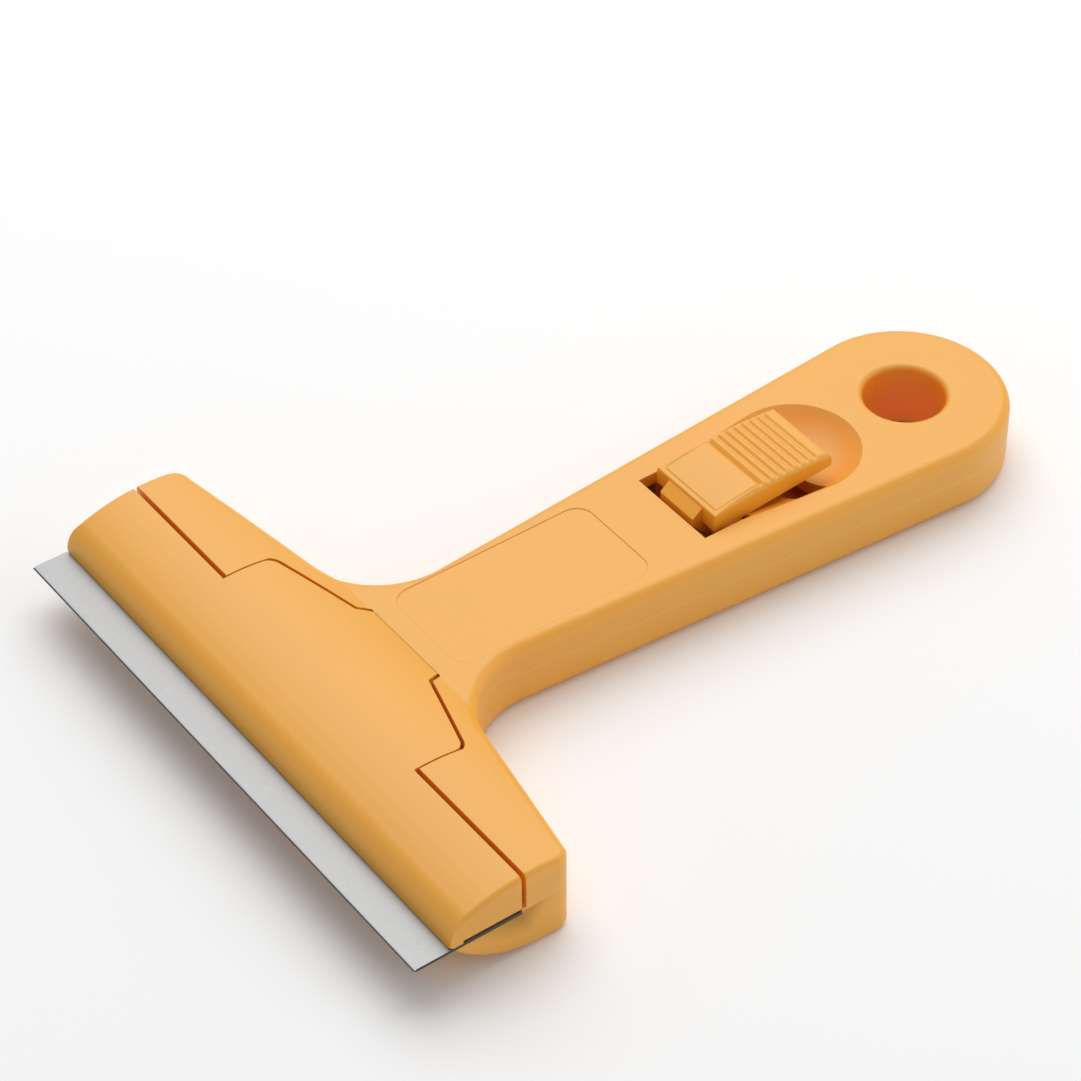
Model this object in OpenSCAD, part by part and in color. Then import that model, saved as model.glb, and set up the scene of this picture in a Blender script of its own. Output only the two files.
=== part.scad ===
// Razor blade scraper: two moulded half shells, a rocking clamp jaw that a flip lever
// in the handle opens, and a replaceable straight blade.
// X runs along the blade, Y from the cutting edge to the hanging end, Z is up.
// Heights are measured from the middle of the blade, and place() sets the part on the floor.

/* [Blade] */
// Length of the cutting edge
blade_l = 100; // [80:1:120]
// Width from the cutting edge to the back
blade_w = 18; // [16:0.5:20]
// Thickness of the strip
blade_t = 0.5; // [0.3:0.1:0.8]
// Width of the ground edge
edge_w = 0.5; // [0.4:0.1:3]
// Bare strip in front of the jaw
blade_show = 6; // [4:0.5:7]
// Bare end past the jaw, each side
blade_overhang = 0; // [0:0.1:2]
// Width of the two notches in the back edge
notch_w = 3.4; // [2.4:0.1:5]
// Depth of the notches
notch_d = 3.6; // [2.5:0.1:4.5]
// Distance of each notch from the middle
notch_x = 12; // [11:0.5:13]

/* [Head] */
// Height of the arched top above the blade
crest_h = 7; // [6:0.1:8]
// Radius of the arched top
crest_r = 31.2; // [28:0.1:36]
// Distance of the crest line behind the blade
crest_back = 2; // [1:0.1:3]
// Radius of the jaw's rounded front
nose_r = 5; // [4:0.1:6]
// Radius of the arc under the lower jaw
keel_r = 20.7; // [18:0.1:26]
// Depth of the wings at their tips
wing_d = 7.75; // [6.5:0.05:10]
// Angle that the wings' rear edges sweep back
wing_sweep = 11.3; // [8:0.1:14]
// Corner radius of the wing tips
wing_corner_r = 3; // [1:0.1:4]
// Gap between the jaw and the wings
seam_gap = 0.75; // [0.6:0.05:1.2]

/* [Handle] */
// Height of the handle's flat top above the blade
grip_top = 4; // [3.6:0.1:4.6]
// Depth of the underside below the blade
grip_bottom = 7.8; // [7.4:0.1:9]
// Half width at the neck
neck_r = 11.2; // [10.6:0.1:13]
// Distance from the crease to the neck
neck_back = 18.6; // [16:0.2:22]
// Radius of the fillet between wing and handle
neck_fillet = 14; // [11:0.5:16]
// Length from the cutting edge to the hanging end
overall_l = 145; // [143:0.5:165]
// Radius of the hanging end
butt_r = 16.6; // [15.4:0.1:19]
// Radius of the hanging hole
hang_r = 6.55; // [5:0.05:7.5]
// Wall thickness of the mouldings
wall = 2.2; // [1.8:0.1:2.4]
// Thickness of the stiffening ribs
rib_t = 1.6; // [1.2:0.1:2]
// Distance between the ribs under and over the blade
rib_pitch = 12; // [11.5:0.5:12.5]
// Height of the parting line at the head
part_head = 0.7; // [0.6:0.05:0.8]
// Depth of the parting line along the handle
part_grip = 1.7; // [1.2:0.1:2.2]
// Width of the label panel
panel_w = 18.6; // [15:0.1:20]
// Length of the label panel
panel_l = 35.3; // [30:0.1:38]
// Corner radius of the label panel
panel_r = 3; // [1:0.1:5]
// Distance from the crease to the label panel
panel_back = 3.6; // [2:0.1:6]
// Depth of the label panel
panel_d = 0.1; // [0.1:0.05:0.3]

/* [Clamp jaw] */
// Half width of the tongue
tongue_hw = 24.5; // [22:0.1:27]
// Length of the tongue's straight sides
tongue_side = 8.4; // [7:0.1:9]
// Half width of the tongue where its slanted edges end
tongue_tip_hw = 9.3; // [8.6:0.1:10]
// Gap along the tongue's slanted edges
tongue_gap = 0.6; // [0.55:0.05:0.8]
// Gap along the tongue's straight sides
tongue_side_gap = 0.3; // [0.2:0.05:0.5]
// Length of the tongue that runs under the handle's lip
tongue_tuck = 2; // [1.6:0.1:2.4]
// Gap between the tongue and the lip over it
lip_gap = 0.06; // [0.05:0.01:0.15]
// Radius of the hub on the jaw's pin
jaw_hub_r = 1.85; // [1.7:0.05:1.9]
// Radius of the jaw's pin
jaw_pin_r = 0.9; // [0.7:0.05:1]
// Distance of the jaw's pin in front of the crease
jaw_pin_fore = 0.75; // [0.6:0.05:0.9]
// Depth of the jaw's pin under the crease
jaw_pin_drop = 1.8; // [1.8:0.05:2]
// Width of the arm under the handle's top
arm_w = 9; // [8:0.1:9.5]
// Thickness of the arm
arm_t = 2.8; // [2.4:0.1:3]
// Radius of the bead at the arm's end
bead_r = 1; // [0.8:0.05:1.1]

/* [Lever] */
// Width of the lever
lever_w = 14.1; // [13:0.1:15]
// Length of the lever's top plate
lever_l = 22.7; // [21:0.1:24]
// Height of the lever's crown above the handle's top
lever_rise = 3.5; // [3.2:0.05:3.8]
// Radius of the lever's arched top
lever_arch_r = 66; // [55:1:80]
// Rounding of the lever's lifting edge
lever_round = 1.3; // [0.8:0.1:1.5]
// Thickness of the plate at its lifting end
lever_t = 2.35; // [2.1:0.05:2.5]
// Height of the lever's sides at the hinge
lever_side = 3; // [2.4:0.1:3.1]
// Width of the nose and foot that hold the bead
nose_w = 8; // [6:0.1:9]
// Radius of the lever's pin
lever_pin_r = 1.25; // [1:0.05:1.3]
// Radius of the lever's hub
lever_hub_r = 2.4; // [2.2:0.05:2.5]
// Number of grip ribs
grip_ribs = 8; // [6:1:8]
// Distance between the grip ribs
grip_pitch = 1.5; // [1.4:0.05:1.6]
// Depth of the grooves between the grip ribs
groove_d = 0.3; // [0.2:0.05:0.5]

/* [Lever window] */
// Distance from the hanging hole to the front of the window
window_fore = 46; // [45:0.1:47]
// Half width of the window
window_hw = 8.2; // [7.9:0.1:8.6]
// Radius of the finger dish at the handle's top
dish_r = 10.4; // [9.8:0.1:11]
// Depth of the finger dish
dish_d = 4; // [3.4:0.1:4.4]
// Distance from the hanging hole to the middle of the dish
dish_fore = 22; // [21:0.1:23]
// Length of the slot through the dish for the lever's legs
slot_l = 6.2; // [5:0.1:7]

/* [Screws] */
// Radius of a screw's shank
screw_r = 1.25; // [1:0.05:1.4]
// Radius of a screw's head
screw_head_r = 2.6; // [2.2:0.1:2.8]
// Height of a screw's head
screw_head_h = 1.9; // [1.5:0.1:2.2]
// Length of a screw under its head
screw_l = 7.2; // [6:0.1:7.6]
// Distance of the front screws from the middle
screw_front_x = 36; // [34:0.5:40]
// Distance of the rear screws from the middle
screw_rear_x = 10.6; // [10:0.1:11.2]

/* [Clearances] */
// Clearance of a pin in its seats
pin_clear = 0.04; // [0.02:0.01:0.08]
// Clearance of the jaw over the blade
clamp_clear = 0.03; // [0.02:0.01:0.06]
// Clearance of the bead in the lever
bead_clear = 0.06; // [0.04:0.01:0.1]
// Clearance between the shells' inner posts and walls
post_clear = 0.2; // [0.1:0.05:0.3]

/* [Hidden] */
$fn = 72;

plastic = "#F0A545";
steel = "#BFC3C6";
big = 400;

// Fits shared by the pieces: how far posts run into walls, the room round moving parts,
// and the seats that hold the pins
lap = 1;
room = 0.4;
seat_hw = 2.5;
seat_end = 0.5;
rib_stop = 3;

// Head lines
head_w = blade_l - 2 * blade_overhang;
seat_z = -blade_t / 2;
clamp_z = blade_t / 2 + clamp_clear;
jaw_back_y = blade_w;
wing_front_y = jaw_back_y + seam_gap;
wing_y = wing_front_y + wing_d;
crest_y = blade_w + crest_back;
crest_z = crest_h - crest_r;
crease_y = crest_y + sqrt(crest_r * crest_r - pow(grip_top - crest_z, 2));
nose_y = blade_show + nose_r;
nose_z = crest_z + sqrt(pow(crest_r - nose_r, 2) - pow(nose_y - crest_y, 2));
nose_lean = (nose_y - crest_y) / (crest_r - nose_r);
lower_lip = 0.3;
keel_y = blade_show + lower_lip + sqrt(keel_r * keel_r - pow(keel_r - grip_bottom, 2));

// Handle lines: straight sides that touch the hanging end's circle
neck_y = crease_y + neck_back;
butt_y = overall_l - butt_r;
taper = asin((butt_r - neck_r) / (butt_y - neck_y));
neck_touch = [neck_r * cos(taper), neck_y - neck_r * sin(taper)];
butt_touch = [butt_r * cos(taper), butt_y - butt_r * sin(taper)];
wing_tip = [head_w / 2, wing_y];
neck_x = (neck_touch.x + (wing_y + tan(wing_sweep) * wing_tip.x - neck_touch.y) * tan(taper))
       / (1 + tan(wing_sweep) * tan(taper));
neck_corner = [neck_x, wing_y + tan(wing_sweep) * (wing_tip.x - neck_x)];
skin_z = grip_top - wall;
floor_z = wall - grip_bottom;
ramp_y = crease_y + rib_stop;
ramp_l = 12;

// Jaw hinge and arm
jaw_pin_y = crease_y - jaw_pin_fore;
jaw_pin_z = grip_top - jaw_pin_drop;
hub_root_y = crease_y - 7;
tongue_tip_y = crease_y - 2.3;
tongue_corner_r = 2;
tuck_hw = tongue_tip_hw - 1.1;
jaw_hub_hl = tuck_hw;
jaw_seat_x = jaw_hub_hl + 0.7;
jaw_pin_hl = jaw_hub_hl + 4;
tuck_y = crease_y + tongue_tuck;
tuck_room = 0.5;
tongue_base_z = part_head + 0.1;
arm_top = skin_z - room;
arm_base = arm_top - arm_t;
arm_taper_l = 2.6;
arm_tip_l = 2;
guide_x = arm_w / 2 + 0.9;

// Lever hinge, with the bead held between nose and foot
window_y = butt_y - window_fore;
lever_pin_back = 6.15;
lever_pin_drop = 2.6;
lever_pin_y = window_y + lever_pin_back;
lever_pin_z = grip_top - lever_pin_drop;
lever_seat_x = window_hw + 0.3;
lever_pin_hl = window_hw + 3;
lever_front = 3.5;
lever_rear = lever_l - lever_front;
window_back_y = lever_pin_y + lever_hub_r + room;
crown_back = 10.45;
lever_arch_z = grip_top + lever_rise - lever_pin_z - lever_arch_r;
lever_front_z = lever_arch_z + sqrt(pow(lever_arch_r, 2) - pow(lever_front + crown_back, 2));
rear_lean = asin((lever_rear - crown_back) / lever_arch_r);
lever_rear_z = lever_arch_z + lever_arch_r * cos(rear_lean);
bead_at = [-3.9, -1.8];
bead_y = lever_pin_y + bead_at.x;
bead_z = lever_pin_z + bead_at.y;
foot_top = bead_at.y - bead_r - bead_clear;
foot_t = 1.6;
foot_y = -5;
foot_back_y = 1.2;
foot_sweep = norm([foot_back_y, foot_top - foot_t]);
nose_drop = 0.35;
nose_face = [[-5.25, 2.8], [-5.25, 1.4], [-3.2, -0.82], [-2.5, -1.3]];
leg_x = 0.6;
leg_t = 2;
leg_back = 1.4;
leg_base = -2.6;
first_groove = 2.85;
groove_hl = lever_w / 2 - 0.8;

// Finger dish: a sphere with a trough that runs out at the window
dish_y = butt_y - dish_fore;
bowl_r = (dish_r * dish_r + dish_d * dish_d) / (2 * dish_d);
bowl_z = grip_top - dish_d + bowl_r;
trough_stop = 7.6;
trough_l = dish_y - window_y - trough_stop;
trough_rise = dish_d - bowl_r + sqrt(bowl_r * bowl_r - window_hw * window_hw);
trough_tilt = atan(trough_rise / trough_l);
slot_y = dish_y - lap - slot_l;
slot_hw = lever_w / 2 + 2.1;
leg_y = slot_y + leg_back - lever_pin_y;

// Screws: two in the wings, two beside the hanging hole
screw_sink = 1.1;
screw_seat_z = screw_head_h + screw_sink - grip_bottom;
boss_r = screw_r + 1.2;
well_r = screw_head_r + 1.4;
screw_rear_fore = 10.8;
screw_front_y = wing_front_y + wall / 2 + boss_r;
screw_places = [[screw_front_x, screw_front_y], [screw_rear_x, butt_y - screw_rear_fore]];
drive_w = 0.7;
drive_l = 3.4;
drive_d = 1;

// Corner b of the path a, b, c as a tangent arc of radius r
function unit(v) = v / norm(v);
function corner(a, b, c, r, steps = 16) =
    let (u = unit(a - b), v = unit(c - b), half = acos(u * v) / 2)
    let (middle = b + unit(u + v) * r / sin(half), start = b + u * r / tan(half) - middle)
    let (turn = (cross(u, v) < 0 ? 1 : -1) * (180 - 2 * half))
    [for (k = [0:steps])
        let (a = atan2(start.y, start.x) + turn * k / steps)
        middle + r * [cos(a), sin(a)]];

// Frames and sweeps
module place() {
    translate([0, -overall_l / 2, grip_bottom]) children();
}
module across(w) {
    translate([-w / 2, 0, 0]) rotate([90, 0, 90]) linear_extrude(w) children();
}
module upright(z0, z1) {
    translate([0, 0, z0]) linear_extrude(z1 - z0) children();
}
module both_sides() {
    children();
    mirror([1, 0, 0]) children();
}
module bar_x(y, z, r, half_l) {
    translate([-half_l, y, z]) rotate([0, 90, 0]) cylinder(r = r, h = 2 * half_l);
}
module block(x0, x1, y0, y1, z0, z1) {
    translate([x0, y0, z0]) cube([x1 - x0, y1 - y0, z1 - z0]);
}

// Plan of the whole body: wings, neck fillets, tapered handle and round end
module body_plan() {
    both_sides() polygon(concat(
        [[0, 0], [wing_tip.x, 0]],
        corner([wing_tip.x, 0], wing_tip, neck_corner, wing_corner_r),
        corner(wing_tip, neck_corner, butt_touch, neck_fillet),
        [butt_touch, [0, butt_y]]));
    translate([0, butt_y]) circle(butt_r);
}

// Side profile of the whole body: arched head over a keel, then the flat handle
module body_profile(inset = 0) {
    intersection() {
        translate([crest_y, crest_z]) circle(crest_r - inset);
        translate([keel_y, keel_r - grip_bottom]) circle(keel_r - inset);
    }
    translate([keel_y, inset - grip_bottom])
        square([overall_l - keel_y, grip_bottom + grip_top - 2 * inset]);
}

module body_solid() {
    intersection() {
        upright(-grip_bottom - lap, crest_h + lap) body_plan();
        across(blade_l) body_profile();
    }
}

module above_parting() {
    across(big) polygon([
        [-big, part_head], [ramp_y, part_head], [ramp_y + ramp_l, -part_grip],
        [big, -part_grip], [big, big], [-big, big]]);
}

// Plan of the jaw: a full-width hood and a tongue that narrows and dives under the lip
module tongue_plan() {
    side = [tongue_hw, jaw_back_y + tongue_side];
    tip = [tongue_tip_hw, tongue_tip_y];
    both_sides() polygon(concat(
        [[0, jaw_back_y - lap], [tongue_hw, jaw_back_y - lap]],
        corner([tongue_hw, jaw_back_y], side, tip, tongue_corner_r),
        [tip, [tuck_hw, crease_y], [tuck_hw, tuck_y], [0, tuck_y]]));
}
module jaw_plan() {
    translate([-head_w / 2, 0]) square([head_w, jaw_back_y]);
    tongue_plan();
}
module jaw_room() {
    translate([-big / 2, -lap]) square([big, wing_front_y + lap]);
    intersection() {
        offset(delta = tongue_gap) tongue_plan();
        translate([-tongue_hw - tongue_side_gap, 0])
            square([2 * (tongue_hw + tongue_side_gap), crease_y]);
    }
}
module upper_plan() {
    difference() {
        body_plan();
        jaw_room();
    }
}

// Side profile of the jaw: steep rounded front running into the arch
module hood_profile(inset = 0) {
    touch_y = crest_y + nose_lean * (crest_r - inset);
    translate([nose_y, nose_z]) circle(nose_r - inset);
    translate([blade_show + inset, -lap]) square([nose_r, nose_z + lap]);
    intersection() {
        translate([crest_y, crest_z]) circle(crest_r - inset);
        translate([touch_y, -lap]) square([tuck_y - touch_y, crest_h + 2 * lap]);
    }
}

module screw_columns(r, z0, z1) {
    for (at = screw_places)
        both_sides() translate([at.x, at.y, z0]) cylinder(r = r, h = z1 - z0);
}
module hang_tube(r) {
    translate([0, butt_y, -grip_bottom - lap]) cylinder(r = r, h = big / 4);
}
module bowl(r) {
    translate([0, dish_y, bowl_z]) {
        sphere(r);
        rotate([90 - trough_tilt, 0, 0]) cylinder(r = r, h = trough_l);
    }
}
module guide_ribs(y0, y1) {
    both_sides() block(guide_x, guide_x + rib_t, y0, y1, -big / 4, big / 4);
}
module pin_seats() {
    bar_x(jaw_pin_y, jaw_pin_z, jaw_pin_r + pin_clear, jaw_pin_hl + pin_clear);
    bar_x(lever_pin_y, lever_pin_z, lever_pin_r + pin_clear, lever_pin_hl + pin_clear);
}
module seat(x, pin_hl, y, z0, z1) {
    both_sides() block(x, pin_hl + seat_end, y - seat_hw, y + seat_hw, z0, z1);
}
module head_ribs(y0, y1, z0, z1) {
    for (x = [rib_pitch / 2 : rib_pitch : head_w / 2 - wall - rib_t])
        both_sides() block(x - rib_t / 2, x + rib_t / 2, y0, y1, z0, z1);
}

module upper_shell() {
    color(plastic) place() difference() {
        union() {
            difference() {
                intersection() {
                    body_solid();
                    above_parting();
                    upright(-big, big) upper_plan();
                }
                intersection() {
                    upright(-big, big) offset(delta = -wall) upper_plan();
                    across(big) body_profile(wall);
                }
            }
            intersection() {
                body_solid();
                above_parting();
                union() {
                    screw_columns(boss_r, -big, big);
                    guide_ribs(neck_y, window_y - rib_stop);
                    hang_tube(hang_r + wall);
                }
            }
            intersection() {
                upright(-big, big) upper_plan();
                seat(jaw_seat_x, jaw_pin_hl, jaw_pin_y, part_head, grip_top - lap);
            }
            intersection() {
                upright(-big, big) offset(delta = -wall - post_clear) upper_plan();
                bowl(bowl_r + wall);
                block(-big, big, window_back_y, dish_y + bowl_r, -big, grip_top - lap);
            }
        }
        bowl(bowl_r);
        block(-window_hw, window_hw, window_y, window_back_y, -big, big);
        block(-nose_w / 2 - room, nose_w / 2 + room, window_y,
              lever_pin_y + foot_sweep + room, -big, big);
        block(-slot_hw, slot_hw, slot_y, slot_y + slot_l, -big, big);
        block(-jaw_hub_hl - tongue_gap, jaw_hub_hl + tongue_gap, crease_y - 2 * lap,
              tuck_y + tuck_room, -big, skin_z);
        block(-jaw_pin_hl - pin_clear, jaw_pin_hl + pin_clear, jaw_pin_y - jaw_pin_r - pin_clear,
              jaw_pin_y + jaw_pin_r + pin_clear, 0, jaw_pin_z);
        intersection() {
            across(2 * (tuck_hw + tongue_gap))
                translate([crest_y, crest_z]) circle(crest_r + lip_gap);
            block(-big, big, crease_y - lap, tuck_y + tuck_room, 0, big);
        }
        hang_tube(hang_r);
        pin_seats();
        screw_columns(screw_r + pin_clear, -big, screw_seat_z + screw_l + post_clear);
        upright(grip_top - panel_d, big) label_panel();
    }
}

module label_panel() {
    y0 = crease_y + panel_back;
    path = [[panel_w / 2, y0], [panel_w / 2, y0 + panel_l]];
    both_sides() polygon(concat(
        [[0, y0]],
        corner([0, y0], path[0], path[1], panel_r),
        corner(path[0], path[1], [0, y0 + panel_l], panel_r),
        [[0, y0 + panel_l]]));
}

module lower_shell() {
    color(plastic) place() difference() {
        union() {
            difference() {
                lower_block();
                intersection() {
                    upright(-big, big) offset(delta = -wall) body_plan();
                    across(big) body_profile(wall);
                }
            }
            intersection() {
                lower_block();
                union() {
                    block(-big, big, blade_w, blade_w + wall, -big, big);
                    head_ribs(0, blade_w + wall, -big, big);
                    screw_columns(well_r, -big, big);
                    guide_ribs(neck_y, window_y - rib_stop);
                    guide_ribs(slot_y - wall, butt_y - hang_r - wall);
                    hang_tube(hang_r + wall);
                }
            }
            intersection() {
                body_solid();
                both_sides() translate([notch_x, blade_w - notch_d + notch_w / 2, -grip_bottom])
                    cylinder(r = notch_w / 2 - post_clear, h = grip_bottom + clamp_z + post_clear);
            }
            intersection() {
                upright(-big, big) offset(delta = -wall - post_clear) body_plan();
                union() {
                    both_sides() block(
                        jaw_seat_x, jaw_pin_hl, jaw_pin_y - jaw_pin_r + post_clear,
                        jaw_pin_y + jaw_pin_r - post_clear,
                        floor_z - lap, jaw_pin_z - jaw_pin_r - pin_clear);
                    seat(lever_seat_x, lever_pin_hl, lever_pin_y, floor_z - lap, skin_z);
                }
            }
        }
        hang_tube(hang_r);
        pin_seats();
        screw_columns(screw_r + pin_clear, -big, big);
        screw_columns(screw_head_r + post_clear, -big, screw_seat_z);
    }
}
module lower_block() {
    difference() {
        body_solid();
        above_parting();
        block(-big, big, -lap, blade_w, seat_z, big);
    }
}

module shell_screws() {
    color(steel) place() difference() {
        union() {
            screw_columns(screw_head_r, screw_seat_z - screw_head_h, screw_seat_z);
            screw_columns(screw_r, screw_seat_z, screw_seat_z + screw_l);
        }
        for (at = screw_places)
            both_sides() translate([at.x, at.y, screw_seat_z - screw_head_h])
                for (turn = [0, 90])
                    rotate(turn) cube([drive_l, drive_w, 2 * drive_d], center = true);
    }
}

module clamp_jaw() {
    color(plastic) place() difference() {
        union() {
            difference() {
                intersection() {
                    across(head_w) hood_profile();
                    upright(clamp_z, big) jaw_plan();
                }
                intersection() {
                    across(head_w) hood_profile(wall);
                    upright(-big, big) offset(delta = -wall) jaw_plan();
                }
            }
            intersection() {
                across(head_w) hood_profile(wall / 2);
                upright(clamp_z, big) jaw_plan();
                head_ribs(blade_show, blade_w, -big, big);
            }
            block(-jaw_hub_hl, jaw_hub_hl, hub_root_y, jaw_pin_y, arm_base, tongue_base_z + tuck_room);
            bar_x(jaw_pin_y, jaw_pin_z, jaw_hub_r, jaw_hub_hl);
            across(arm_w) arm_profile();
        }
        both_sides() block(head_w / 2 - wall, big, blade_show + wall, big, -lap, tongue_base_z);
        difference() {
            block(-big, big, blade_w - post_clear, crease_y, -lap, tongue_base_z);
            block(-jaw_hub_hl, jaw_hub_hl, hub_root_y, big, -big, big);
        }
        bar_x(jaw_pin_y, jaw_pin_z, jaw_pin_r + pin_clear, big);
    }
}
module arm_profile() {
    taper_y = bead_y - arm_tip_l;
    root_y = taper_y - arm_taper_l;
    polygon([
        [jaw_pin_y, arm_base], [root_y, arm_base], [taper_y, bead_z - bead_r],
        [bead_y, bead_z - bead_r], [bead_y, bead_z + bead_r],
        [taper_y, bead_z + bead_r], [root_y, arm_top], [jaw_pin_y, arm_top]]);
    translate([bead_y, bead_z]) circle(bead_r);
}

module jaw_pin() {
    color(steel) place() bar_x(jaw_pin_y, jaw_pin_z, jaw_pin_r, jaw_pin_hl);
}

module release_lever() {
    color(plastic) place() translate([0, lever_pin_y, lever_pin_z]) difference() {
        union() {
            across(lever_w) {
                lever_plate();
                circle(lever_hub_r);
            }
            across(nose_w) lever_foot();
            both_sides() block(leg_x, leg_x + leg_t, leg_y, leg_y + leg_t,
                               leg_base, lever_rear_z - lever_t / 2);
        }
        bar_x(0, 0, lever_pin_r + pin_clear, big);
        for (k = [0 : grip_ribs - 1])
            translate([0, crown_back, lever_arch_z]) rotate([groove_turn(k), 0, 0])
                translate([0, 0, lever_arch_r]) rotate([45, 0, 0])
                    cube([2 * groove_hl, groove_d * sqrt(2), groove_d * sqrt(2)], center = true);
    }
}
function groove_turn(k) =
    (crown_back + first_groove + k * grip_pitch - lever_rear) / lever_arch_r * 180 / PI;

// Side profile of the lever's plate: arched top, rounded lifting edge, rising underside
module lever_plate() {
    top_front = [-lever_front, lever_rear_z + lever_l * tan(rear_lean)];
    top_rear = [lever_rear, lever_rear_z];
    rear_base = [lever_rear, lever_rear_z - lever_t];
    intersection() {
        translate([crown_back, lever_arch_z]) circle(lever_arch_r);
        polygon(concat(
            [top_front], corner(top_front, top_rear, rear_base, lever_round), [rear_base],
            [[0, lever_front_z - lever_side], [-lever_front, lever_front_z - lever_side]]));
    }
}
module lever_foot() {
    polygon(concat([[-lever_front, lever_front_z - nose_drop]], nose_face, [
        [nose_face[3].x, foot_top], [foot_y, foot_top], [foot_y, foot_top - foot_t],
        [foot_back_y, foot_top - foot_t], [lever_hub_r, 0], [lever_hub_r, lever_front_z - lap]]));
}

module lever_pin() {
    color(steel) place() bar_x(lever_pin_y, lever_pin_z, lever_pin_r, lever_pin_hl);
}

module blade() {
    color("#D8DADB") place() difference() {
        across(blade_l) polygon([
            [0, 0], [edge_w, -blade_t / 2], [blade_w, -blade_t / 2],
            [blade_w, blade_t / 2], [edge_w, blade_t / 2]]);
        both_sides() translate([notch_x, blade_w - notch_d + notch_w / 2, -lap]) {
            cylinder(r = notch_w / 2, h = 2 * lap);
            translate([-notch_w / 2, 0, 0]) cube([notch_w, notch_d, 2 * lap]);
        }
    }
}

upper_shell();
lower_shell();
shell_screws();
clamp_jaw();
jaw_pin();
release_lever();
lever_pin();
blade();
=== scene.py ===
from math import asin, cos, pi, radians, sin, sqrt, tan

import bmesh
import bpy
from mathutils import Matrix, Vector


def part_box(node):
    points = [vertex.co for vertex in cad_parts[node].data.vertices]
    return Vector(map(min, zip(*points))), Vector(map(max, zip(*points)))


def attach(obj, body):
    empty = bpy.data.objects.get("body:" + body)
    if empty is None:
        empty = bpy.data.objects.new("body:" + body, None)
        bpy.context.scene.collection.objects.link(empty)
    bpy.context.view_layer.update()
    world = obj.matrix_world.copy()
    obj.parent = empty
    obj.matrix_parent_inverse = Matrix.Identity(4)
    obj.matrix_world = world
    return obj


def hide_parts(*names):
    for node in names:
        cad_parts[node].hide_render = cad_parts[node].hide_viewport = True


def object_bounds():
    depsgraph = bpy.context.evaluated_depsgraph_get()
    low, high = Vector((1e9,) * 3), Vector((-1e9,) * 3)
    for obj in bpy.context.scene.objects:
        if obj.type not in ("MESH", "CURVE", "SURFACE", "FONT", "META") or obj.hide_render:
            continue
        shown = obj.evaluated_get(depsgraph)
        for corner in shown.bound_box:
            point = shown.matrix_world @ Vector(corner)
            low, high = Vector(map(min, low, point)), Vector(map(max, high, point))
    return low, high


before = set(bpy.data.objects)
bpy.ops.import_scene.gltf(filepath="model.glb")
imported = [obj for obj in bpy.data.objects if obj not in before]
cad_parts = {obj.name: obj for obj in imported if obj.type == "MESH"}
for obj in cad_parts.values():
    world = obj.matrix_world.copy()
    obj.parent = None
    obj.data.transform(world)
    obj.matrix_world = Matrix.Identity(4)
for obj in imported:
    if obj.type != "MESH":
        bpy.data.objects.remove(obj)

cad_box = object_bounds()


# Lower shell: the bottom half of the handle with the jaw that the blade lies on, moulded in
# satin orange plastic. Ribs, screw wells and pin seats stand inside it, and four screws from
# below hold it to the upper shell.
mm = 0.001
edge_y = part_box("blade")[0].y
blade_z = (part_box("blade")[0].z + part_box("blade")[1].z) / 2
base_z = cad_box[0].z

# The outline that both shells share, seen from above
head_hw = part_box("lower_shell")[1].x
front_y = edge_y + 5 * mm
wing_y = edge_y + 26.5 * mm
wing_sweep = radians(11.3)
wing_corner_r = 3 * mm
neck_y = edge_y + 51.95 * mm
neck_r = 11.2 * mm
neck_fillet = 14 * mm
butt_r = 16.6 * mm
butt_y = cad_box[1].y - butt_r
hang_r = 6.55 * mm


def corner(a, b, c, radius, steps=16):
    """Corner b of the path a, b, c as points on a tangent arc."""
    u = (a - b).normalized()
    v = (c - b).normalized()
    half = u.angle(v) / 2
    middle = b + (u + v).normalized() * radius / sin(half)
    spoke = b + u * radius / tan(half) - middle
    turn = (pi - 2 * half) * (-1 if u.cross(v) > 0 else 1)
    return [middle + Matrix.Rotation(turn * k / steps, 2) @ spoke for k in range(steps + 1)]


def body_outline(end_steps=60):
    """Outline of the closed shells, from the right wing round the hanging end to the left wing."""
    lean = asin((butt_r - neck_r) / (butt_y - neck_y))
    neck_touch = Vector((neck_r * cos(lean), neck_y - neck_r * sin(lean)))
    butt_touch = Vector((butt_r * cos(lean), butt_y - butt_r * sin(lean)))
    front = Vector((head_hw, front_y))
    tip = Vector((head_hw, wing_y))
    neck_x = neck_touch.x + (wing_y + tan(wing_sweep) * head_hw - neck_touch.y) * tan(lean)
    neck_x /= 1 + tan(wing_sweep) * tan(lean)
    neck = Vector((neck_x, wing_y + tan(wing_sweep) * (head_hw - neck_x)))
    right = [front] + corner(front, tip, neck, wing_corner_r)
    right += corner(tip, neck, butt_touch, neck_fillet)
    for k in range(end_steps + 1):
        angle = -lean + (pi / 2 + lean) * k / end_steps
        right.append(Vector((butt_r * cos(angle), butt_y + butt_r * sin(angle))))
    return right + [Vector((-p.x, p.y)) for p in reversed(right[:-1])]


outline = body_outline()

# The side view that both shells share: an arch over the blade, a keel under it
grip_top = blade_z + 4 * mm
crest_r = 31.2 * mm
crest_y = edge_y + 20 * mm
crest_z = blade_z + 7 * mm - crest_r
crease_y = crest_y + sqrt(crest_r ** 2 - (grip_top - crest_z) ** 2)
keel_r = 20.7 * mm
keel_y = edge_y + 22.5 * mm
edge_round = 1.8 * mm
end_round = 0.85 * mm
end_reach = 4 * mm
weld = 1e-6


def arch(y):
    return crest_z + sqrt(crest_r ** 2 - (y - crest_y) ** 2)


def keel(y):
    return base_z + keel_r - sqrt(keel_r ** 2 - (y - keel_y) ** 2)


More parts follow.
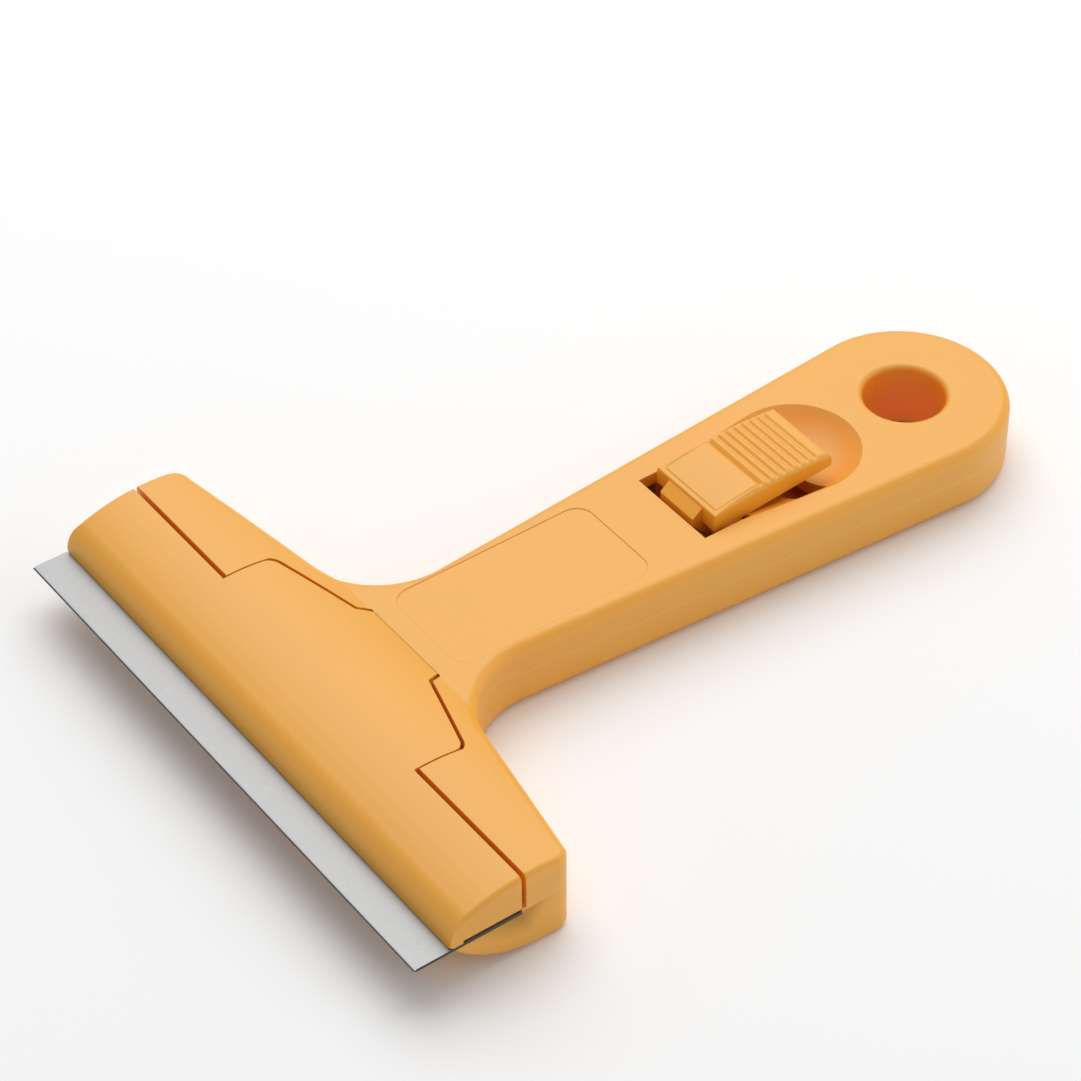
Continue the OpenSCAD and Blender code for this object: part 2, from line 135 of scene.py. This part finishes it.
def soften(bm, edges, width, segments=3):
    """Rounds the edges, as the mould's own corners are."""
    bmesh.ops.bevel(bm, geom=edges, offset=width, offset_type="OFFSET", affect="EDGES",
                    segments=segments, profile=0.5, material=-1, clamp_overlap=True)


def nearest(p):
    """The point of the outline nearest to p, seen from above."""
    flat = Vector((p.x, p.y))
    best = None
    for a, b in zip(outline, outline[1:]):
        along = b - a
        t = min(1, max(0, (flat - a).dot(along) / along.length_squared))
        if best is None or (a + along * t - flat).length < (best - flat).length:
            best = a + along * t
    return best


def ease_end(v):
    """Draws the edge's rounding in to a small one at the two ends of the head."""
    rim = nearest(v.co)
    inward = min(1, (head_hw - abs(rim.x)) / end_reach)
    if inward < 1 and v.co.y < neck_y:
        share = end_round / edge_round
        share += (1 - share) * inward ** 2 * (3 - 2 * inward)
        v.co.xy = rim + (v.co.xy - rim) * share
        level = grip_top if v.co.z > blade_z else base_z
        v.co.z = level + (v.co.z - level) * share


def rounded_body(stations=58, skin=0.004 * mm):
    """The closed shells' outside with rounded edges: made flat, then bent to arch and keel."""
    bm = bmesh.new()
    rim = [bm.verts.new((p.x, p.y, base_z)) for p in outline]
    raised = bmesh.ops.extrude_face_region(bm, geom=[bm.faces.new(rim)])["geom"]
    bmesh.ops.translate(bm, vec=(0, 0, grip_top - base_z),
                        verts=[g for g in raised if isinstance(g, bmesh.types.BMVert)])
    bmesh.ops.recalc_face_normals(bm, faces=bm.faces[:])
    level = [e for e in bm.edges
             if abs(e.verts[0].co.z - e.verts[1].co.z) < skin
             and max(v.co.y for v in e.verts) > front_y + skin]
    soften(bm, level, edge_round, 6)
    for v in bm.verts:
        ease_end(v)
    for k in range(1, stations + 1):
        cut_y = front_y + (crease_y - front_y) * k / stations
        bmesh.ops.bisect_plane(bm, geom=bm.verts[:] + bm.edges[:] + bm.faces[:],
                               dist=weld / 10, plane_co=(0, cut_y, 0), plane_no=(0, 1, 0))
    for v in bm.verts:
        if v.co.z > blade_z and v.co.y < crease_y:
            v.co.z += arch(v.co.y) - grip_top
        elif v.co.z < blade_z and v.co.y < keel_y:
            v.co.z += keel(v.co.y) - base_z
    bm.normal_update()
    for v in bm.verts:
        v.co += v.normal * skin
    return bm


def whole_faces(bm):
    """Welds the mesh and joins the triangles of each flat face."""
    bmesh.ops.remove_doubles(bm, verts=bm.verts[:], dist=weld)
    bmesh.ops.dissolve_limit(bm, angle_limit=radians(0.4), use_dissolve_boundaries=False,
                             verts=bm.verts[:], edges=bm.edges[:])
    return bm


def moulding(node):
    """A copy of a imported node."""
    bm = bmesh.new()
    bm.from_mesh(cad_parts[node].data)
    return whole_faces(bm)


def mesh_object(name, bm):
    mesh = bpy.data.meshes.new(name)
    bm.to_mesh(mesh)
    bm.free()
    obj = bpy.data.objects.new(name, mesh)
    bpy.context.scene.collection.objects.link(obj)
    return obj


def trimmed(bm, envelope):
    """What of the moulding lies inside the envelope."""
    piece = mesh_object("untrimmed", bm)
    tool = mesh_object("envelope", envelope)
    cut = piece.modifiers.new("rounded outside", "BOOLEAN")
    cut.operation = "INTERSECT"
    cut.solver = "EXACT"
    cut.object = tool
    bpy.context.view_layer.update()
    done = bmesh.new()
    done.from_object(piece, bpy.context.evaluated_depsgraph_get())
    for obj in (piece, tool):
        bpy.data.meshes.remove(obj.data)
    return whole_faces(done)


class Shade:
    """A shader socket that takes Python arithmetic; node() adds any other node."""

    def __init__(self, tree, socket=None):
        self.tree = tree
        self.socket = socket

    def node(self, kind, settings, inputs, output=0):
        made = self.tree.nodes.new("ShaderNode" + kind)
        for name, value in settings.items():
            setattr(made, name, value)
        for name, value in inputs.items():
            if isinstance(value, Shade):
                self.tree.links.new(value.socket, made.inputs[name])
            else:
                made.inputs[name].default_value = value
        return Shade(self.tree, made.outputs[output])

    def math(self, operation, a, b):
        return self.node("Math", {"operation": operation}, {0: a, 1: b})

    def __add__(self, other):
        return self.math("ADD", self, other)

    def __mul__(self, other):
        return self.math("MULTIPLY", self, other)

    def __sub__(self, other):
        return self.math("SUBTRACT", self, other)

    def __rsub__(self, other):
        return self.math("SUBTRACT", other, self)

    __radd__ = __add__
    __rmul__ = __mul__

    def size(self):
        return self.math("ABSOLUTE", self, 0)

    def root(self):
        return self.math("SQRT", self, 0)

    def larger(self, other):
        return self.math("MAXIMUM", self, other)

    def rise(self, start, end):
        """0 up to start and 1 from end on, with a ramp between them."""
        return self.node("MapRange", {}, {"Value": self, "From Min": start, "From Max": end})

    def place(self):
        return self.node("TexCoord", {}, {}, "Object")

    def xyz(self):
        place = self.place()
        return [self.node("SeparateXYZ", {}, {"Vector": place}, axis) for axis in "XYZ"]

    def noise(self, scale, detail=2, vector=None):
        return self.node("TexNoise", {}, {"Vector": vector or self.place(), "Scale": scale,
                                          "Detail": detail})

    def blend(self, share, a, b):
        mix = {"data_type": "RGBA"}
        return self.node("Mix", mix, {0: share, 6: a, 7: b}, 2)


def finish(name):
    """A new material and the start of its shader expressions."""
    material = bpy.data.materials.new(name)
    material.use_nodes = True
    return material, Shade(material.node_tree)


def surface(material, inputs):
    shader = material.node_tree.nodes["Principled BSDF"]
    for name, value in inputs.items():
        if isinstance(value, Shade):
            material.node_tree.links.new(value.socket, shader.inputs[name])
        else:
            shader.inputs[name].default_value = value


# Where the recesses of the handle's top and the gap between hood and wings lie, for the painted
# glow and shade there
recess_front_y = edge_y + 81.8 * mm
window_hw = 8.6 * mm
window_back_y = edge_y + 91.6 * mm
dish_hw = 11.2 * mm
dish_back_y = edge_y + 118 * mm
gap_front_y = edge_y + 16.5 * mm
wing_wall = 2.5 * mm
blur = 0.2 * mm

# Depths under the top between which each painted glow or painted shade comes in or goes out
edge_in = (0.1 * mm, 0.8 * mm)
edge_out = (1.2 * mm, 2.6 * mm)
gap_in = (0.2 * mm, 0.7 * mm)
rim_in = (0, 0.8 * mm)
bore_in = (1 * mm, 6 * mm)
window_in = (0.2 * mm, 2 * mm)
dish_in = (0, 0.7 * mm)
dish_out = (1.6 * mm, 3.2 * mm)
slot_in = (3.6 * mm, 4.6 * mm)
above_base = (0.5 * mm, 2 * mm)
# Shares and colours of the painted edge glow, the painted gap shade and the painted recess shade
painted_glow_share = 0.45
painted_shade_share = 0.85
painted_glow_orange = (1.0, 0.42, 0.014, 1)
painted_gap_shade_orange = (1.0, 0.33, 0.018, 1)
painted_recess_shade_orange = (0.98, 0.29, 0.012, 1)


def from_axis(x, y):
    """Distance from the hanging hole's axis, as a shader value."""
    along = y - butt_y
    return (x * x + along * along).root()


def painted_glow_and_gap_shade(shade, pigment):
    """Painted glow on the rounded edges and painted shade in the gap beside the hood: a deeper
    orange that stands in for light coming back out of the plastic.
    """
    x, y, z = shade.xyz()
    off = x.size()
    from_crest = y - crest_y
    crown = ((crest_r ** 2 - from_crest * from_crest).root() + crest_z).larger(grip_top)
    depth = crown - z
    edge = depth.rise(*edge_in) - depth.rise(*edge_out)
    edge = edge * y.rise(gap_front_y, gap_front_y + 10 * blur)
    pigment = shade.blend(painted_glow_share * edge, pigment, painted_glow_orange)
    gap = depth.rise(*gap_in) * (head_hw - off).rise(blur, 2 * blur)
    wing_back = wing_y + tan(wing_sweep) * (head_hw - off) - y
    gap = gap * wing_back.rise(wing_wall, wing_wall + blur) * (crease_y - y).rise(-blur, 0)
    gap = gap * y.rise(gap_front_y, gap_front_y + blur)
    gap = gap * (z - blade_z).rise(3 * blur, 4 * blur)
    return shade.blend(painted_shade_share * gap, pigment, painted_gap_shade_orange)


def painted_recess_shade(shade, pigment):
    """Painted shade: a deeper, redder orange in the hanging hole, the lever's window and the
    finger dish.
    """
    x, y, z = shade.xyz()
    off = x.size()
    depth = grip_top - z
    hole = (hang_r + blur - from_axis(x, y)).rise(0, blur / 2)
    hole = hole * (0.5 * depth.rise(*rim_in) + 0.4 * depth.rise(*bore_in))
    window = (window_hw - off).rise(0, blur) * (window_back_y - y).rise(0, blur)
    window = window * depth.rise(*window_in)
    dish = (dish_hw - off).rise(0, blur) * (dish_back_y - y).rise(0, blur)
    dish = dish * (0.55 * depth.rise(*dish_in) - 0.45 * depth.rise(*dish_out)
                   + depth.rise(*slot_in))
    recess = hole.larger(dish).larger(window)
    recess = recess * y.rise(recess_front_y, recess_front_y + blur)
    recess = recess * (z - base_z).rise(*above_base)
    return shade.blend(painted_shade_share * recess, pigment, painted_recess_shade_orange)


def moulded_plastic(name, painted_marks=None):
    """Satin orange plastic: faint pigment clouds under a fine spark-eroded mould texture, with
    painted edge glow and painted gap shade on top, and any painted highlight or shade that the
    marks function adds.
    """
    material, shade = finish(name)
    cloud = shade.noise(55, 3)
    texture = shade.noise(2600, 3)
    pigment = shade.blend(cloud, (0.84, 0.385, 0.028, 1), (0.89, 0.415, 0.036, 1))
    pigment = shade.blend(texture * 0.25, pigment, (0.82, 0.345, 0.024, 1))
    # Painted edge glow and painted gap shade, on every part in this plastic
    pigment = painted_glow_and_gap_shade(shade, pigment)
    height = texture + 0.3 * shade.noise(900)
    surface(material, {
        "Base Color": painted_marks(shade, pigment) if painted_marks else pigment,
        "Roughness": 0.38 + 0.10 * texture + 0.06 * cloud,
        "Normal": shade.node("Bump", {}, {"Strength": 0.25, "Distance": 0.02 * mm,
                                          "Height": height}),
        "Specular IOR Level": 0.85,
        "Subsurface Weight": 0.12,
        "Subsurface Radius": (1.0, 0.35, 0.08),
        "Subsurface Scale": 1.2 * mm,
    })
    return material


sharp_angle = radians(33)


def piece(name, bm, body, slot, material, node):
    """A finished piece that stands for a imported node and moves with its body."""
    bmesh.ops.dissolve_degenerate(bm, dist=weld, edges=bm.edges[:])
    for face in bm.faces:
        face.smooth = True
    for edge in bm.edges:
        edge.smooth = edge.calc_face_angle(pi) < sharp_angle
    obj = mesh_object(name, bm)
    obj.data.materials.append(material)
    flats = obj.modifiers.new("flat faces", "WEIGHTED_NORMAL")
    flats.keep_sharp = True
    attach(obj, body)
    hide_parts(node)
    return obj


def ridges(bm, wanted, angle=35):
    """Convex edges sharper than angle whose middle and faces pass the test."""
    found = []
    for edge in bm.edges:
        if len(edge.link_faces) == 2 and edge.calc_face_angle_signed() > radians(angle):
            middle = (edge.verts[0].co + edge.verts[1].co) / 2
            if wanted(middle, [f.normal for f in edge.link_faces]):
                found.append(edge)
    return found


# Height of the line where the shells part, at the head and along the handle, and the panel
part_head = blade_z + 0.7 * mm
part_grip = blade_z - 1.7 * mm
ramp_y = crease_y + 3 * mm
ramp_l = 12 * mm
panel_w = 18.6 * mm
panel_l = 35.3 * mm
panel_r = 3 * mm
panel_y = crease_y + 3.6 * mm + panel_l / 2
mark_core = 0.12 * mm
mark_edge = 0.25 * mm


def shell_painted_light_and_shade(shade, pigment):
    """A pale painted highlight along the line where the shells part, a fine line of painted shade
    round the bare panel's shallow step, and the painted shade in the recesses.
    """
    def line(off):
        return 1 - off.size().rise(mark_core, mark_edge)

    def past(value, limit):
        return (value.size() - limit).larger(0)

    x, y, z = shade.xyz()
    parting = part_head + (part_grip - part_head) * y.rise(ramp_y, ramp_y + ramp_l)
    parting_highlight = line(z - parting) * (from_axis(x, y) - hang_r).rise(blur, 2 * blur)
    across = past(x, panel_w / 2 - panel_r)
    along = past(y - panel_y, panel_l / 2 - panel_r)
    rim = line((across * across + along * along).root() - panel_r)
    rim = rim * (z - blade_z).rise(0, blur)
    # Painted recess shade first, then the painted parting highlight and the painted panel shade
    # line
    marked = shade.blend(0.6 * parting_highlight, painted_recess_shade(shade, pigment), (0.95, 0.52, 0.13, 1))
    return shade.blend(0.12 * rim, marked, (0.45, 0.15, 0.02, 1))


near = 0.05 * mm
level_cos = 0.9


def from_hole(p):
    return Vector((p.x, p.y - butt_y)).length


def hole_rim(side):
    """Test for the hanging hole's edge on the side that faces up (1) or down (-1)."""
    return lambda p, normals: (abs(from_hole(p) - hang_r) < near
                               and max(n.z * side for n in normals) > level_cos)


def on_outline(p):
    return (nearest(p) - p.xy).length < near


def parting_rim(p, normals):
    """Test for the outer edges where the two shells meet."""
    level = max(abs(n.z) for n in normals) > level_cos
    return level and on_outline(p) and base_z + edge_round < p.z < grip_top - edge_round


shell_orange = moulded_plastic("shell_plastic", shell_painted_light_and_shade)
parting_round = 0.05 * mm
hole_round = 1 * mm
lower = trimmed(moulding("lower_shell"), rounded_body())
soften(lower, ridges(lower, hole_rim(-1)), hole_round, 5)
soften(lower, ridges(lower, parting_rim), parting_round)
piece("lower_handle_shell", lower, "handle", "moulded_plastic", shell_orange, "lower_shell")


# Pins: two plain steel pins, zinc plated, with chamfered ends. The jaw rocks on one and the
# lever on the other, and both lie in seats between the shells.
def zinc_plate():
    """Zinc-plated steel: pale grey with fine drawing lines and duller patches."""
    material, shade = finish("zinc_plate")
    drawn = shade.node("Mapping", {}, {"Vector": shade.place(), "Scale": (0.08, 1, 1)})
    lines = shade.noise(4200, 3, drawn)
    patches = shade.noise(400, 3)
    surface(material, {
        "Base Color": shade.blend(patches, (0.56, 0.57, 0.58, 1), (0.72, 0.73, 0.74, 1)),
        "Metallic": 1,
        "Roughness": 0.26 + 0.14 * lines + 0.10 * patches,
        "Normal": shade.node("Bump", {}, {"Strength": 0.2, "Distance": 0.01 * mm,
                                          "Height": lines}),
    })
    return material


def anywhere(p, normals):
    return True


zinc = zinc_plate()
pin_chamfer = 0.25 * mm
for node in ("jaw_pin", "lever_pin"):
    pin = moulding(node)
    soften(pin, ridges(pin, anywhere), pin_chamfer, 2)
    piece(node + "_steel", pin, "handle", "fixing_steel", zinc, node)


# Clamp jaw: one moulding with the arched hood over the blade, the tongue that dives under the
# handle's lip, the hub on its pin and the long arm that the lever moves.
seam_round = 0.22 * mm
seam_low_z = blade_z + 3 * mm
seam_back_y = crease_y + 1 * mm


def hood_seam(p, normals):
    """Test for the top edges beside the gap to the wings."""
    return (max(n.z for n in normals) > 0.5 and min(abs(n.z) for n in normals) < 0.3
            and p.z > seam_low_z and p.y < seam_back_y)


orange = moulded_plastic("moulded_plastic")
jaw = trimmed(moulding("clamp_jaw"), rounded_body())
soften(jaw, ridges(jaw, hood_seam), seam_round)
piece("clamp_jaw_hood", jaw, "jaw", "moulded_plastic", orange, "clamp_jaw")


# Release lever: a small flip lever with soft grip ribs across its lifting end, a framed flat
# panel in front of them, and a nose and foot that hold the jaw's arm. It is one moulding.
lever_hw = 7.05 * mm
lever_front_y = edge_y + 85.05 * mm
lever_back_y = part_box("release_lever")[1].y
lever_crown_y = edge_y + 99 * mm
lever_crown_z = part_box("release_lever")[1].z
lever_arch_r = 66 * mm
lever_edge_round = 0.14 * mm
shoulder_r = 1.1 * mm
front_round = 0.25 * mm
shoulder_y = edge_y + 93 * mm
rib_count = 8
rib_pitch = 1.5 * mm
last_groove_y = lever_back_y - 2.85 * mm
first_groove_y = last_groove_y - (rib_count - 1) * rib_pitch
groove_d = 0.38 * mm
groove_w = 1.4 * mm
groove_end = 0.15 * mm
groove_run = 0.9 * mm
frame_inset = 0.85 * mm
frame_front_y = lever_front_y + frame_inset
frame_back_y = first_groove_y
frame_r = 0.5 * mm
frame_w = 0.42 * mm
frame_d = 0.12 * mm
hub = (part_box("lever_pin")[0].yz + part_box("lever_pin")[1].yz) / 2
hub_r = 2.6 * mm


def bump(off, width):
    """1 in the middle of a soft groove, falling to 0 at its edges."""
    return (1 + cos(pi * min(1, abs(off) / (width / 2)))) / 2


def from_frame(x, y):
    """Distance from the line of the flat panel's frame, a rectangle with round corners."""
    middle_y = (frame_front_y + frame_back_y) / 2
    across = abs(x) - (lever_hw - frame_inset - frame_r)
    along = abs(y - middle_y) - (frame_back_y - middle_y - frame_r)
    outside = Vector((max(across, 0), max(along, 0))).length
    return outside + min(max(across, along), 0) - frame_r


def eased(inward, radius):
    """How far a rounded edge falls away at a distance inward from it."""
    short = radius - min(max(inward, 0), radius)
    return radius - sqrt(radius ** 2 - short ** 2)


def lever_level(x, y):
    """Height of the lever's top: the arch, its rounded edges, grip grooves and panel frame."""
    grown = min(1, max(0, (y - lever_front_y) / (shoulder_y - lever_front_y)))
    side_round = front_round + (shoulder_r - front_round) * grown
    drop = max(eased(lever_hw - abs(x), side_round), eased(y - lever_front_y, front_round))
    step = round((last_groove_y - y) / rib_pitch)
    off = y - last_groove_y + min(max(step, 0), rib_count - 1) * rib_pitch
    run_out = min(1, max(0, (lever_hw - abs(x) - groove_end) / groove_run))
    drop += groove_d * bump(off, groove_w) * run_out
    drop += frame_d * bump(from_frame(x, y), frame_w)
    arc = sqrt(lever_arch_r ** 2 - (y - lever_crown_y) ** 2)
    return lever_crown_z - lever_arch_r + arc - drop


def lever_envelope(across=150, along=300, beyond=0.02 * mm, lead=3 * mm, deep=14 * mm):
    """A closed block that keeps what lies under the lever's finished top."""
    bm = bmesh.new()
    front = lever_front_y - lead
    half_l = (lever_back_y + beyond - front) / 2
    bmesh.ops.create_grid(bm, x_segments=across, y_segments=along, size=1,
                          matrix=Matrix.Translation((0, front + half_l, 0))
                          @ Matrix.Diagonal((lever_hw + beyond, half_l, 1, 1)))
    for v in bm.verts:
        v.co.z = lever_level(v.co.x, v.co.y)
    rim = [e for e in bm.edges if e.is_boundary]
    skirt = bmesh.ops.extrude_edge_only(bm, edges=rim)["geom"]
    for v in skirt:
        if isinstance(v, bmesh.types.BMVert):
            v.co.z = lever_crown_z - deep
    bmesh.ops.holes_fill(bm, edges=[e for e in bm.edges if e.is_boundary], sides=0)
    bmesh.ops.recalc_face_normals(bm, faces=bm.faces[:])
    return bm


def lever_painted_glow(shade, pigment):
    """Painted glow: a deeper, more saturated orange on the lever's upright sides and front, which
    lie in shade.
    """
    x, y = shade.xyz()[:2]
    side = x.size().rise(lever_hw - 0.25 * mm, lever_hw - 0.03 * mm)
    front = (lever_front_y - y).rise(-0.1 * mm, 0)
    return shade.blend(0.8 * side.larger(front), pigment, painted_glow_orange)


def lever_low_edge(p, normals):
    """Test for the edges below the handle's top, but for those of the lever's hub."""
    return p.z < grip_top and (p.yz - hub).length > hub_r


lever = trimmed(moulding("release_lever"), lever_envelope())
soften(lever, ridges(lever, lever_low_edge, 30), lever_edge_round)
piece("flip_lever", lever, "lever", "moulded_plastic",
      moulded_plastic("lever_plastic", lever_painted_glow), "release_lever")


# Upper shell: the top half of the handle with the two wings beside the jaw, the lever's window,
# the finger dish, the hanging hole and a shallow bare panel, moulded in the same plastic.
def wing_seam(p, normals):
    """Test for the wings' edges beside that gap."""
    return hood_seam(p, normals) and not on_outline(p)


upper = trimmed(moulding("upper_shell"), rounded_body())
soften(upper, ridges(upper, hole_rim(1)), hole_round, 5)
soften(upper, ridges(upper, wing_seam), seam_round)
soften(upper, ridges(upper, parting_rim), parting_round)
piece("upper_handle_shell", upper, "handle", "moulded_plastic", shell_orange, "upper_shell")


# Shell screws: four zinc-plated self-tapping screws with cross recesses, driven from below
# into the upper shell's bosses.
screw_round = 0.15 * mm
screws = moulding("shell_screws")
soften(screws, ridges(screws, anywhere, 60), screw_round, 2)
piece("cross_head_screws", screws, "handle", "fixing_steel", zinc, "shell_screws")


# Blade: a hardened steel strip with rolled faces and a ground cutting edge, notched at the back
# to sit on the lower jaw's posts and clamped by the hood.
ground_w = 0.2 * mm
sheared_w = 0.02 * mm


def blade_steel():
    """Rolled strip with faint lengthwise grain; its ground edge and sheared ends are painted near
    black, as painted shade and dark reflection.
    """
    material, shade = finish("blade_steel")
    rolled = shade.node("Mapping", {}, {"Vector": shade.place(), "Scale": (0.12, 1, 1)})
    grain = shade.noise(3800, 4, rolled)
    mottle = shade.noise(1500, 3)
    x, y = shade.xyz()[:2]
    # The near-black on the ground edge and the sheared ends is painted shade and dark reflection
    ground = shade.math("LESS_THAN", y, edge_y + ground_w)
    sheared = shade.math("GREATER_THAN", x.size(), head_hw - sheared_w)
    strip = shade.blend(0.6 * grain + 0.4 * mottle, (0.30, 0.30, 0.30, 1), (0.44, 0.44, 0.44, 1))
    surface(material, {
        "Base Color": shade.blend(ground.larger(sheared), strip, (0.09, 0.09, 0.09, 1)),
        "Metallic": 1,
        "Roughness": 0.40 + 0.16 * grain - 0.18 * ground,
        "Normal": shade.node("Bump", {}, {"Strength": 0.25, "Distance": 0.01 * mm,
                                          "Height": grain + 0.6 * mottle}),
    })
    return material


piece("scraper_blade", moulding("blade"), "blade", "blade_steel", blade_steel(), "blade")


# Floor: a pale studio table top, much larger than the view. It lies a hair below the
# scraper's flat underside, so that the two faces never fall together.
floor_gap = 0.05 * mm
floor_hw = 3


def pale_table():
    material, shade = finish("pale_table")
    cloud = shade.noise(9, 3)
    surface(material, {
        "Base Color": shade.blend(cloud, (0.95, 0.95, 0.95, 1), (0.98, 0.98, 0.98, 1)),
        "Roughness": 0.75 + 0.1 * cloud,
        "Specular IOR Level": 0.2,
    })
    return material


floor_bm = bmesh.new()
bmesh.ops.create_grid(floor_bm, x_segments=1, y_segments=1, size=floor_hw,
                      matrix=Matrix.Translation((0, 0, base_z - floor_gap)))
floor = mesh_object("table_top", floor_bm)
floor.data.materials.append(pale_table())


# Light: a large soft panel overhead, leaning from behind to the left, and a weak one at the
# right, in a pale room.
def panel_light(name, place, size, power):
    """A square area light of a size in metres and a power in watts, aimed at the origin."""
    lamp = bpy.data.lights.new(name, "AREA")
    lamp.size = size
    lamp.energy = power
    obj = bpy.data.objects.new(name, lamp)
    obj.location = place
    obj.rotation_euler = Vector(place).to_track_quat("Z", "Y").to_euler()
    bpy.context.scene.collection.objects.link(obj)


panel_light("overhead_panel", (-0.40, 0.30, 0.87), 1.2, 8.5)
panel_light("side_panel", (0.60, 0.75, 0.35), 0.8, 1.45)
room = bpy.data.worlds.new("pale_room")
room.use_nodes = True
backdrop = room.node_tree.nodes["Background"]
backdrop.inputs["Color"].default_value = (1, 1, 1, 1)
backdrop.inputs["Strength"].default_value = 0.45
bpy.context.scene.world = room
bpy.context.scene.view_settings.view_transform = "Standard"


# Camera: the photograph's own view, from the right of the blade and above. Its place and lens
# come from a fit to that picture.
azimuth = radians(53.985)
elevation = radians(41.973)
roll = radians(-0.39)
distance = 568.71 * mm
aim = Vector((-9.687 * mm, -7.589 * mm, blade_z))

towards = Vector((sin(azimuth) * cos(elevation), -cos(azimuth) * cos(elevation), sin(elevation)))
lens = bpy.data.cameras.new("photo_view")
lens.sensor_width = 36
lens.lens = 125.2
camera = bpy.data.objects.new("photo_view", lens)
turned = towards.to_track_quat("Z", "Y").to_matrix() @ Matrix.Rotation(roll, 3, "Z")
camera.matrix_world = Matrix.Translation(aim + towards * distance) @ turned.to_4x4()
bpy.context.scene.collection.objects.link(camera)
bpy.context.scene.camera = camera
